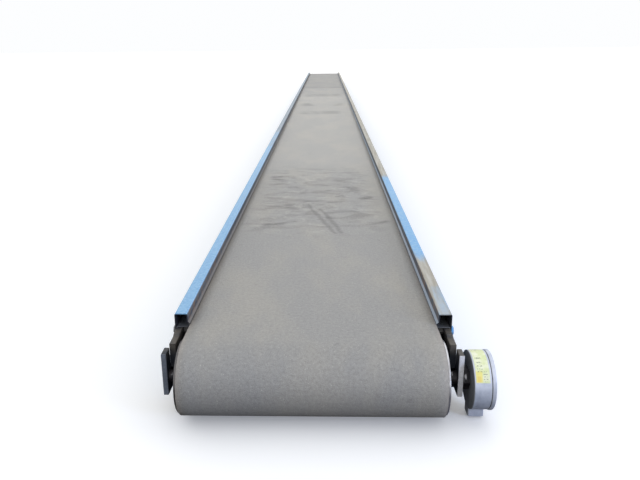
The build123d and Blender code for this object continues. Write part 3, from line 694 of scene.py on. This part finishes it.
def label_film():
    """A faded film with a warm patch and blurred fields that hold no lettering."""
    f = Finish("label_film")
    up = f.z - box_z
    across = f.x - box_back
    faded = f.noise(60.0, 4.0, 0.6)
    colour = f.mix(faded.step(0.35, 0.7), screen(222, 230, 176), screen(242, 244, 216))
    patch = across.within(0.005, 0.017, 0.003) * up.within(0.030, 0.046, 0.004)
    colour = f.mix(patch * (0.4 + faded * 0.5), colour, screen(248, 230, 96))
    spot = across.within(0.008, 0.014, 0.002) * up.within(0.030, 0.038, 0.003)
    colour = f.mix(spot * 0.35, colour, screen(240, 190, 80))
    rows = f.wave(up, 1500.0).step(0.62, 0.86)
    blocks = f.noise(330.0, 2.0, 0.6).step(0.44, 0.56)
    upper = across.within(0.008, 0.020, 0.0005) * up.within(0.044, 0.070, 0.001)
    lower = across.within(0.021, 0.030, 0.0005) * up.within(0.029, 0.048, 0.001)
    colour = f.mix(rows * blocks * (upper + lower) * 0.7, colour, screen(96, 104, 92))
    grime = f.noise(140.0, 4.0, 0.7).step(0.58, 0.72)
    colour = f.mix(grime * 0.3, colour, screen(160, 164, 136))
    return f.close(colour, 0.42, bumps=[(grime, 0.0001)])


def rubber():
    f = Finish("seal_rubber")
    bloom = f.noise(90.0, 4.0, 0.6)
    colour = f.mix(bloom, screen(24, 24, 25), screen(52, 51, 50))
    return f.close(colour, 0.7, bumps=[(bloom, 0.0002)])


def bolt_paint():
    """Blue paint on the bolts of the box's side, bare steel on the other."""
    f = Finish("bolt_paint")
    wear = f.noise(180.0, 4.0, 0.6)
    paint = f.mix(f.noise(60.0, 3.0), screen(86, 158, 222), screen(126, 186, 232))
    bare = f.mix(wear, screen(70, 70, 74), screen(128, 126, 122))
    colour = f.mix(f.x.step(web_x - 0.001, web_x) * wear.step(0.70, 0.60), bare, paint)
    return f.close(colour, 0.4, bumps=[(wear, 0.0003)])


def greased_steel(axis):
    """A shaft end and its nut, near black, with painted glints on the upper side."""
    f = Finish("greased_steel")
    film = f.noise(46.0, 5.0, 0.65)
    glint = f.noise((120.0, 30.0, 30.0), 3.0, 0.6).step(0.58, 0.68)
    colour = f.mix(film.step(0.4, 0.7), screen(34, 33, 38), screen(64, 60, 62))
    # Painted highlight: bright glints on the upper half stand in for light caught by the shaft.
    lit_upper_half = f.z.step(float(axis[2]), float(axis[2]) + 0.012)
    colour = f.mix(glint * lit_upper_half, colour, screen(196, 196, 200))
    return f.close(colour, 0.30 + film * 0.3, 0.55 + glint * 0.3, bumps=[(film, 0.0004)])


def copper():
    f = Finish("copper_core")
    turns = f.wave(f.x, 4200.0)
    colour = f.mix(turns, screen(120, 62, 34), screen(196, 118, 70))
    return f.close(colour, 0.35, 0.8, bumps=[(turns, 0.0003)])


# %% [markdown]
# ## Give every node its material
#
# The record's slot names say what each node is made of. One table goes from the slot to a
# finish, and a few nodes that differ from their slot are named after it.

# %% Assign the finishes
BRIGHT_GREYS = (screen(196, 196, 200), screen(120, 118, 118))
SHELL_GREYS = (screen(226, 226, 230), screen(168, 166, 166))
SHELL_SHADED = screen(112, 110, 110)
finishes = {
    "frame_paint": frame_paint(),
    "plate_paint": plate_paint(),
    "galvanised": zinc("galvanised", screen(150, 154, 160), screen(112, 116, 124), 90.0),
    "box_alloy": box_alloy(),
    "steel_bright": turned_steel("steel_bright", head_axis, *BRIGHT_GREYS),
    "seal_rubber": rubber(),
    "label_film": label_film(),
    "zinc": zinc("zinc", screen(206, 208, 212), screen(164, 166, 172), 500.0),
    "cast": casting("cast", screen(92, 92, 96), screen(54, 54, 58)),
    "copper_core": copper(),
    "shell_steel": turned_steel("shell_steel", head_axis, *SHELL_GREYS, 0.22, SHELL_SHADED),
    "roller_zinc": zinc("roller_zinc", screen(176, 178, 182), screen(140, 143, 150), 160.0),
}
tail_steel = turned_steel("tail_steel", tail_axis, screen(206, 206, 208), screen(128, 126, 126))
blue_bolts = bolt_paint()
dark_glint_finish = greased_steel(head_axis)
slots = {row["node"]: row["material_slot"] for row in frame["record"]["subparts"]}
for name, node in nodes.items():
    if name == "belt":
        continue
    finish = finishes[slots[name]]
    if name in ("head_bracket_bolts", "tail_bracket_bolts"):
        finish = blue_bolts
    if name in ("drum_shaft_left", "drum_shaft_right", "shaft_lock_nut"):
        finish = dark_glint_finish
    if name.startswith("tail_") and slots[name] in ("steel_bright", "shell_steel"):
        finish = tail_steel
    node.data.materials.clear()
    node.data.materials.append(finish)
print("finished nodes", len(nodes) - 1)

# %% [markdown]
# ## Washers
#
# Every bolt through the web has a washer under its head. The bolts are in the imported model
# and the washers aren't, so their places are read from the heads: the points of a bolt
# group that lie outside the web fall into clusters, one for each head. A washer is a short
# profile turned about the bolt's axis.

# %% Find the bolt heads
def mesh_points(name):
    mesh = nodes[name].data
    points = np.empty(len(mesh.vertices) * 3)
    mesh.vertices.foreach_get("co", points)
    return points.reshape(-1, 3)


def heads(name, outside_x, reach=0.023):
    """For each bolt head: its side, the X of its seat, and its centre in Y and Z."""
    found = []
    for side in (-1.0, 1.0):
        points = mesh_points(name)
        points = points[side * points[:, 0] > outside_x - 0.0005]
        while len(points):
            near = np.abs(points[:, 1:] - points[0, 1:]).max(1) < reach
            low, high = points[near].min(0), points[near].max(0)
            found.append((side, outside_x, *((low + high) / 2)[1:]))
            points = points[~near]
    return found


# %% Make the washers
def turned(profile, centre, side, count):
    """A closed profile of (distance out along X, radius) turned about X through a centre."""
    turn = np.linspace(0, 2 * math.pi, count, endpoint=False)[None, :]
    out, radius = profile[:, 0, None], profile[:, 1, None]
    grid = np.empty((len(profile), count, 3))
    grid[..., 0] = side * (centre[0] + out)
    grid[..., 1] = centre[1] + radius * np.cos(turn)
    grid[..., 2] = centre[2] + radius * np.sin(turn)
    return grid[::-1] if side < 0 else grid


def join_grids(name, grids, finish, body, capped=False):
    """One mesh from many grids of the same size, riding on one body."""
    rows, columns = grids[0].shape[:2]
    one = grid_faces(rows, columns, capped)
    starts = [rows * columns * number for number in range(len(grids))]
    faces = [[start + point for point in face] for start in starts for face in one]
    mesh = bpy.data.meshes.new(name)
    mesh.from_pydata(np.concatenate([grid.reshape(-1, 3) for grid in grids]), [], faces)
    mesh.materials.append(finish)
    mesh.update()
    piece = new_object(name, mesh)
    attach(piece, body)


WASHER_THICK, WASHER_EDGE, WASHER_SIDES = 0.0022, 0.0008, 18
BORE_SHARE, RIM_SHARE, LAND_SHARE = 0.6, 1.08, 0.8
plate_x = float(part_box("axle_plate_right")[1][0])
seats = {"splice_bolts": 0.010, "cross_member_bolts": 0.010, "bed_bolts": 0.008}
seats.update({"head_bracket_bolts": 0.012, "tail_bracket_bolts": 0.012, "axle_plate_bolts": 0.010})
rings = []
for group, size in seats.items():
    seat = plate_x if group == "axle_plate_bolts" else web_x
    bore, rim = BORE_SHARE * size, RIM_SHARE * size
    land, face = (LAND_SHARE * WASHER_THICK, rim), (WASHER_THICK, rim - WASHER_EDGE)
    profile = np.array([(0.0, bore), (0.0, rim), land, face, (WASHER_THICK, bore)])
    for side, x, y, z in heads(group, seat):
        rings.append(turned(profile, (x, y, z), side, WASHER_SIDES))
join_grids("washers", rings, finishes["zinc"], "frame")
print("washers", len(rings))

# %% [markdown]
# ## Weld beads
#
# The end lugs of the tail brackets are welded on. A bead is a row of overlapping drops, so
# its radius rises and falls along its run, a few millimetres from crest to crest.

# %% Make the beads
def bead(start, end, radius, pitch=0.0035, sides=10):
    """An upright rippled rod from start to end: radius times (0.86 + 0.14 |sin|), narrowed at
    both ends, its far side buried in the corner that it fills."""
    start, end = np.array(start, float), np.array(end, float)
    length = np.linalg.norm(end - start)
    count = int(length / pitch * 4)
    t = np.linspace(0, 1, count)[:, None]
    swell = 0.86 + 0.14 * np.abs(np.sin(t * length / pitch * math.pi))
    swell[[0, -1]] = 0.5
    turn = np.linspace(0, 2 * math.pi, sides, endpoint=False)[None, :]
    grid = np.empty((count, sides, 3))
    grid[..., 0] = start[0] + radius * swell * np.cos(turn)
    grid[..., 1] = start[1] + radius * swell * np.sin(turn)
    grid[..., 2] = start[2] + t * (end[2] - start[2])
    return grid


LUG_THICK, BEAD_HALF, BEAD_RADIUS, BEAD_OUT = 0.010, 0.029, 0.0032, 0.0008
bead_x = rail_high[0] - SHEET + BEAD_OUT
bead_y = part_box("tail_bracket_right")[1][1] - LUG_THICK - BEAD_OUT
beads = []
for side in (-1.0, 1.0):
    foot = (side * bead_x, bead_y, tail_axis[2] - BEAD_HALF)
    top = (side * bead_x, bead_y, tail_axis[2] + BEAD_HALF)
    beads.append(bead(foot, top, BEAD_RADIUS))
burnt = casting("weld", screen(86, 86, 92), screen(48, 48, 54))
join_grids("lug_welds", beads, burnt, "frame", capped=True)
print("weld beads", len(beads))

# %% [markdown]
# ## Floor and light
#
# A pale floor and a pale, even surround, as in a product studio. The brightest light comes
# from beyond the far end, high up, so that the belt's far part shines at a low angle and
# the drum's front falls away into shade. A cool window low on the viewer's side puts a soft
# band on the drum. The floor glows faintly, to join the white surround, but gives no light
# to the conveyor: below the horizon the surround is dark, which keeps the undersides deep.

# %% Floor
FLOOR_Z = -0.0005
FLOOR_REACH = 60.0
FLOOR_GLOW = 0.12


def floor():
    """A flat square about ten times as long as the conveyor, just under its feet."""
    signs = [(-1, -1), (1, -1), (1, 1), (-1, 1)]
    corners = [(a * FLOOR_REACH, b * FLOOR_REACH, FLOOR_Z) for a, b in signs]
    mesh = bpy.data.meshes.new("floor")
    mesh.from_pydata(corners, [], [(0, 1, 2, 3)])
    f = Finish("floor_paint")
    paint = f.mix(f.noise(0.6), (0.96, 0.96, 0.96), (0.98, 0.98, 0.98))
    mesh.materials.append(f.close(paint, 0.9, Emission_Strength=FLOOR_GLOW))
    piece = new_object("floor", mesh)
    piece.visible_diffuse = False
    piece.visible_glossy = False


floor()
print("floor at", FLOOR_Z)

# %% Surround and lamps
SKY = (0.98, 0.99, 1.0, 1.0)
GROUND = (0.04, 0.04, 0.05, 1.0)


def surround():
    """White above the horizon and dark below it, by the height of the direction looked in."""
    world = bpy.data.worlds.new("surround")
    world.use_nodes = True
    tree = world.node_tree
    direction = add_node(tree, "ShaderNodeTexCoord", {}, {}, "Generated")
    height = add_node(tree, "ShaderNodeSeparateXYZ", {}, {0: direction}, 2)
    mask = height.step(-0.12, -0.03)
    light = add_node(tree, "ShaderNodeMix", {"data_type": "RGBA"}, {0: mask, 6: GROUND, 7: SKY}, 2)
    tree.links.new(light.socket, tree.nodes["Background"].inputs["Color"])
    bpy.context.scene.world = world


def lamp(name, place, aim, size, power, colour):
    """A square soft box that faces a point."""
    data = bpy.data.lights.new(name, "AREA")
    data.shape, data.size, data.energy, data.color = "SQUARE", size, power, colour
    away = np.array(aim, float) - np.array(place, float)
    tilt = math.atan2(np.hypot(away[0], away[1]), -away[2])
    lamp_object = new_object(name, data)
    lamp_object.location = place
    lamp_object.rotation_euler = [tilt, 0.0, math.atan2(-away[0], away[1])]


surround()
lamp("far_window", (0.0, 11.0, 5.0), (0.0, -2.0, 0.2), 5.0, 90.0, (1.0, 0.985, 0.96))
lamp("near_window", (3.7, -8.3, 1.3), (0.2, -6.0, 0.1), 1.0, 66.0, (0.50, 0.64, 1.0))
bpy.context.scene.view_settings.view_transform = "Standard"
print("lamps", 2)
